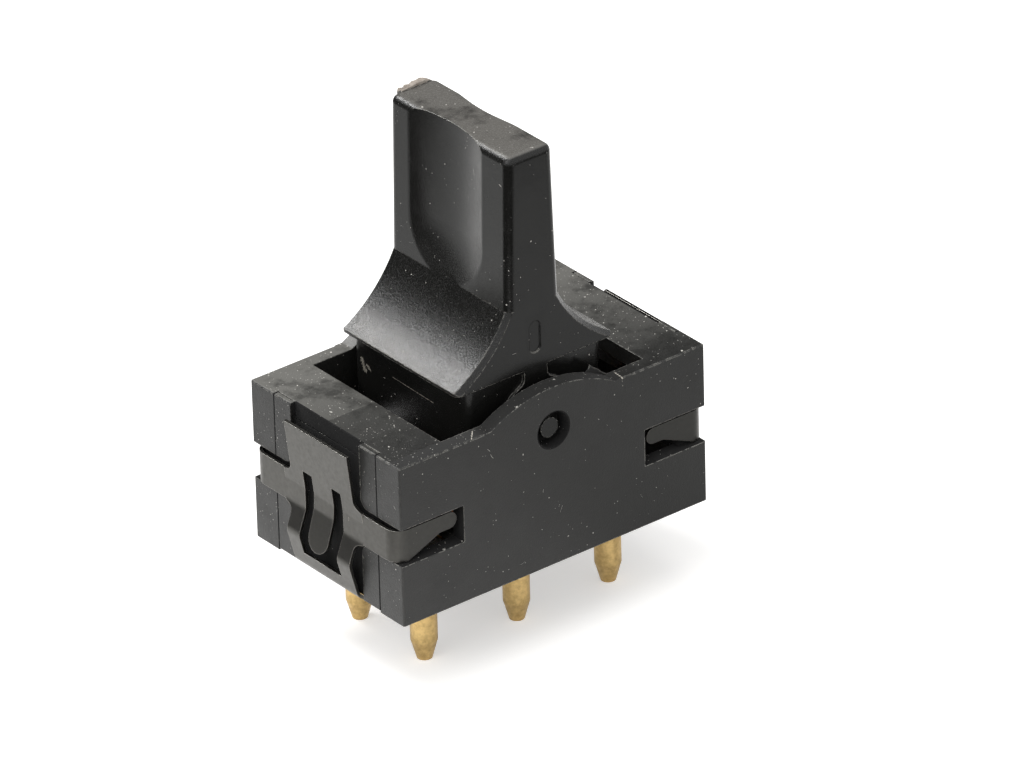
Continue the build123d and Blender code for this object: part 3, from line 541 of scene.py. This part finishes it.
coverAbs = mouldedAbs("blackAbsCover", housingLook, paintHousing)
baseAbs = mouldedAbs("blackAbsBase", housingLook, paintHousing)
leverAbs = mouldedAbs("blackAbsLever", leverLook, paintLever)
clipSteel = bluedSpringSteel("bluedSpringSteel", clipLook)
pinBrass = turnedBrass("turnedBrass", pinLook)
copperStrip = innerMetal("stampedCopper", innerLooks["stampedCopper"])
silverRivet = innerMetal("silverRivet", innerLooks["silverRivet"])
springWire = innerMetal("drawnSteelWire", innerLooks["drawnSteelWire"])
acetal = mouldedAcetal("naturalAcetal", plungerLook)

finishes = {    # by the first word of a node's name
    "cover": coverAbs, "base": baseAbs, "paddle": leverAbs, "clip": clipSteel, "pin": pinBrass,
    "rocker": copperStrip, "fixed": silverRivet, "moving": silverRivet, "spring": springWire, "plunger": acetal,
}
for name, node in nodes.items():
    node.data.materials.clear()
    node.data.materials.append(finishes[name.split("_")[0]])
print("materials on", len(nodes), "nodes")


# Torn plastic that the mould left: a sliver on the near crest's edge, and flash over the blade's far end
tornPieces = {
    "crestBurr": {
        "body": "housing", "slot": "cover_plastic", "thickness mm": 0.12,
        "outline mm": [(4.7, -9.24, 24.9), (4.9, -9.24, 25.35), (5.2, -9.22, 25.55), (5.43, -9.18, 25.89),
                       (5.62, -9.2, 25.68), (5.95, -9.24, 25.42), (6.34, -9.26, 25.14), (6.6, -9.27, 24.85),
                       (7.02, -9.27, 24.52), (7.45, -9.26, 24.22), (6.5, -9.28, 24.1)],
    },
    "bladeFlash": {
        "body": "lever", "slot": "lever_plastic", "thickness mm": 0.09,
        "outline mm": [(-2.0, 7.95, 48.7), (-1.8, 8.25, 48.9), (-1.45, 8.58, 48.98), (-1.1, 8.35, 48.96),
                       (-0.75, 8.6, 49.03), (-0.35, 8.45, 49.0), (0.1, 8.62, 49.06), (0.6, 8.58, 49.07),
                       (1.0, 8.7, 49.08), (1.35, 8.5, 49.06), (1.6, 8.2, 48.98), (1.95, 7.95, 48.78)],
    },
}


def tornPiece(name, piece, material):           # its outline is drawn point by point, filled and given a wall
    outline = [Vector(point) * mm for point in piece["outline mm"]]
    thickness = piece["thickness mm"] * mm
    bpy.ops.object.select_all(action="DESELECT")
    bpy.ops.mesh.primitive_plane_add(size=thickness, location=outline[0])
    torn = bpy.context.object
    torn.name = name
    bpy.ops.object.mode_set(mode="EDIT")
    bpy.ops.mesh.select_all(action="SELECT")
    bpy.ops.mesh.merge(type="CENTER")
    bpy.ops.mesh.select_all(action="SELECT")
    for here, there in zip(outline, outline[1:]):
        bpy.ops.mesh.extrude_vertices_move(TRANSFORM_OT_translate={"value": there - here})
    bpy.ops.mesh.select_all(action="SELECT")
    bpy.ops.mesh.edge_face_add()
    bpy.ops.object.mode_set(mode="OBJECT")
    wall = torn.modifiers.new("wall", "SOLIDIFY")
    wall.thickness = thickness
    wall.offset = 0.0
    rim = torn.modifiers.new("rim", "BEVEL")
    rim.width = thickness / 4
    for modifier in ("wall", "rim"):
        bpy.ops.object.modifier_apply(modifier=modifier)
    bpy.ops.object.mode_set(mode="EDIT")
    bpy.ops.mesh.select_all(action="SELECT")
    bpy.ops.mesh.normals_make_consistent(inside=False)
    bpy.ops.object.mode_set(mode="OBJECT")
    bpy.ops.object.transform_apply(location=True, rotation=True, scale=True)
    torn.data.materials.append(material)
    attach(torn, piece["body"])


tornPiece("crestBurr", tornPieces["crestBurr"], coverAbs)
tornPiece("bladeFlash", tornPieces["bladeFlash"], leverAbs)
print("torn pieces ready")


# Springs, which a plunger presses together: each spring is copied as a smooth-shaded coil, and the frame's
# spring is hidden
coilShape = {"merge mm": 0.001, "smooth degrees": 40}


def squeezedCoil(side):
    spring = nodes["spring_" + side]
    coil = bpy.data.objects.new("coil_" + side, spring.data.copy())
    bpy.context.scene.collection.objects.link(coil)
    coil.data.transform(spring.matrix_world)
    bpy.ops.object.select_all(action="DESELECT")
    bpy.context.view_layer.objects.active = coil
    coil.select_set(True)
    bpy.ops.object.mode_set(mode="EDIT")
    bpy.ops.mesh.select_all(action="SELECT")
    bpy.ops.mesh.remove_doubles(threshold=coilShape["merge mm"] * mm)
    bpy.ops.object.mode_set(mode="OBJECT")
    bpy.ops.object.shade_smooth_by_angle(angle=math.radians(coilShape["smooth degrees"]))
    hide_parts("spring_" + side)
    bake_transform(coil)


for side in ("front", "back"):
    squeezedCoil(side)
print("coils ready")


# Studio: pale floor, soft boxes, a pale surround, and black and grey cards that only reflections see, as round a
# product table. Azimuth 0 is towards -Y and 90 towards +X
studio = {
    "floor": "#e9e8e6", "floorPaler": "#eeedec", "floor patch mm": 60.0, "floor m": 3.0,
    "floor seen": 0.45,                         # lift for the camera
    "floor mirrored": (0.0, 0.45, 0.04),        # lift for reflections, in front, beneath and behind
    "floor rising mm": (-60, 10), "floor falling mm": (35, 60),
    "surround": 0.62, "card": "#060606", "greyCard": "#c6c6c5", "card height mm": 0.5, "target m": (0, 0, 0.03),
    "boxes": [            # name, azimuth, elevation, distance m, size m, watts
        ("backSoftbox", 202, 47, 0.75, 0.24, 4.0),
        ("leftSoftbox", -75, 38, 0.8, 0.45, 2.1),
        ("topSoftbox", -20, 80, 0.8, 0.5, 1.6),
    ],
    "standing cards": [   # name, azimuth, elevation, distance m, width and height m
        ("backLeftCard", 214, 13, 0.45, 0.56, 0.31),
        ("backRightCard", 148, 24, 0.5, 0.5, 0.56),
    ],
    "lying cards": [      # name, shade, lowest and highest X and Y in mm
        ("leftCard", "card", -320, -50, -320, 42),
        ("frontCard", "card", -50, 12, -320, -60),
        ("frontRightCard", "card", 12, 320, -320, -88),
        ("farLeftCard", "card", -320, -82, 42, 320),
        ("backCard", "card", -82, 320, 125, 320),
        ("greyFrontCard", "greyCard", 12, 320, -88, -10),
        ("greyBackCard", "greyCard", -82, -36, 46, 125),
    ],
}


def direction(azimuth, elevation):
    a, e = math.radians(azimuth), math.radians(elevation)
    return Vector((math.sin(a) * math.cos(e), -math.cos(a) * math.cos(e), math.sin(e)))


def softFloor():
    bpy.ops.object.select_all(action="DESELECT")
    bpy.ops.mesh.primitive_plane_add(size=studio["floor m"], location=(0, 0, 0))
    floor = bpy.context.object
    floor.name = "floor"
    material = newMaterial("paleFloor")
    at = addNode(material, "ShaderNodeTexCoord").outputs["Object"]
    paper = addNode(material, "ShaderNodeTexNoise", {"Vector": at,
                                                     "Scale": perMetre(studio["floor patch mm"])})
    colour = addNode(material, "ShaderNodeMix", {0: paper, 6: linearColour(studio["floor"]),
                                                 7: linearColour(studio["floorPaler"])}, data_type="RGBA")
    diffuse = addNode(material, "ShaderNodeBsdfDiffuse", {"Color": colour})
    path = addNode(material, "ShaderNodeLightPath")
    seen = addNode(material, "ShaderNodeMath", {0: path.outputs["Is Transmission Ray"],
                                                1: path.outputs["Is Glossy Ray"]}, operation="MAXIMUM")
    front, middle, back = studio["floor mirrored"]
    across = addNode(material, "ShaderNodeSeparateXYZ", {0: at}).outputs["Y"]
    low, high = (value * mm for value in studio["floor rising mm"])
    rising = addNode(material, "ShaderNodeMapRange", {"Value": across, "From Min": low, "From Max": high,
                                                      "To Min": front, "To Max": middle})
    low, high = (value * mm for value in studio["floor falling mm"])
    falling = addNode(material, "ShaderNodeMapRange", {"Value": across, "From Min": low, "From Max": high,
                                                       "To Min": middle, "To Max": back})
    graded = addNode(material, "ShaderNodeMath", {0: rising, 1: falling}, operation="MINIMUM")
    mirrored = addNode(material, "ShaderNodeMath", {0: seen, 1: graded}, operation="MULTIPLY")
    strength = addNode(material, "ShaderNodeMath", {0: path.outputs["Is Camera Ray"],
                                                    1: studio["floor seen"], 2: mirrored},
                       operation="MULTIPLY_ADD")
    lift = addNode(material, "ShaderNodeEmission", {"Color": (1, 1, 1, 1), "Strength": strength})
    both = addNode(material, "ShaderNodeAddShader", {0: diffuse, 1: lift})
    addNode(material, "ShaderNodeOutputMaterial", {"Surface": both})
    floor.data.materials.append(material)


def paleSurround():                             # white where it is seen, dimmer where it lights
    world = bpy.data.worlds.new("surround")
    bpy.context.scene.world = world
    world.use_nodes = True
    world.node_tree.nodes.clear()
    path = addNode(world, "ShaderNodeLightPath")
    seen = addNode(world, "ShaderNodeMath", {0: path.outputs["Is Camera Ray"],
                                             1: path.outputs["Is Transmission Ray"]}, operation="MAXIMUM")
    seen = addNode(world, "ShaderNodeMath", {0: seen, 1: path.outputs["Is Glossy Ray"]}, operation="MAXIMUM")
    strength = addNode(world, "ShaderNodeMapRange", {"Value": seen, "To Min": studio["surround"],
                                                     "To Max": 1.0})
    background = addNode(world, "ShaderNodeBackground", {"Color": (1, 1, 1, 1), "Strength": strength})
    addNode(world, "ShaderNodeOutputWorld", {"Surface": background})


def addSoftbox(name, azimuth, elevation, distance, size, watts):
    lamp = bpy.data.lights.new(name, "AREA")
    lamp.shape = "SQUARE"
    lamp.size = size
    lamp.energy = watts
    box = bpy.data.objects.new(name, lamp)
    bpy.context.scene.collection.objects.link(box)
    target = Vector(studio["target m"])
    box.location = target + direction(azimuth, elevation) * distance
    box.rotation_euler = (target - box.location).to_track_quat("-Z", "Y").to_euler()


def addCard(name, material, place, turn, size):         # only reflections see it
    bpy.ops.object.select_all(action="DESELECT")
    bpy.ops.mesh.primitive_plane_add(size=1.0, location=place, rotation=turn)
    card = bpy.context.object
    card.name = name
    card.scale = (*size, 1.0)
    card.data.materials.append(material)
    for ray in ("camera", "diffuse", "shadow", "transmission", "volume_scatter"):
        setattr(card, "visible_" + ray, False)


def cardMaterial(shade):
    material = newMaterial(shade)
    paper = addNode(material, "ShaderNodeBsdfDiffuse", {"Color": linearColour(studio[shade])})
    addNode(material, "ShaderNodeOutputMaterial", {"Surface": paper})
    return material


def layCards():
    shades = {shade: cardMaterial(shade) for shade in ("card", "greyCard")}
    target = Vector(studio["target m"])
    for name, azimuth, elevation, distance, width, height in studio["standing cards"]:
        away = direction(azimuth, elevation)
        turn = away.to_track_quat("Z", "Y").to_euler()
        addCard(name, shades["card"], target + away * distance, turn, (width, height))
    for name, shade, *edges in studio["lying cards"]:
        xLow, xHigh, yLow, yHigh = (value * mm for value in edges)
        middle = ((xLow + xHigh) / 2, (yLow + yHigh) / 2, studio["card height mm"] * mm)
        addCard(name, shades[shade], middle, (0, 0, 0), (xHigh - xLow, yHigh - yLow))


softFloor()
paleSurround()
layCards()
for box in studio["boxes"]:
    addSoftbox(*box)
print("studio ready")


# Camera, matched to the housing's corners in the photograph
shot = {"azimuth": -37.782, "elevation": 29.221, "roll": -1.554, "distance m": 1.0,
        "aside mm": (-2.676, 11.973), "focal px": 11137.4, "picture px": 1024, "sensor mm": 36.0,
        "clip start m": 0.05}


def photoCamera():
    toCamera = direction(shot["azimuth"], shot["elevation"])
    level = toCamera.cross(Vector((0, 0, -1))).normalized()
    plumb = level.cross(-toCamera).normalized()
    roll = math.radians(shot["roll"])
    right = level * math.cos(roll) + plumb * math.sin(roll)
    up = plumb * math.cos(roll) - level * math.sin(roll)
    lens = bpy.data.cameras.new("photoCamera")
    lens.sensor_width = shot["sensor mm"]
    lens.lens = shot["focal px"] * lens.sensor_width / shot["picture px"]
    lens.clip_start = shot["clip start m"]
    camera = bpy.data.objects.new("photoCamera", lens)
    bpy.context.scene.collection.objects.link(camera)
    across, down = (value * mm for value in shot["aside mm"])
    place = Vector((0, 0, underside)) - right * across + up * down + toCamera * shot["distance m"]
    turn = Matrix((right, up, toCamera)).transposed().to_4x4()
    camera.matrix_world = Matrix.Translation(place) @ turn
    bpy.context.scene.camera = camera


photoCamera()
bpy.context.scene.view_settings.view_transform = "Standard"
print("camera ready")
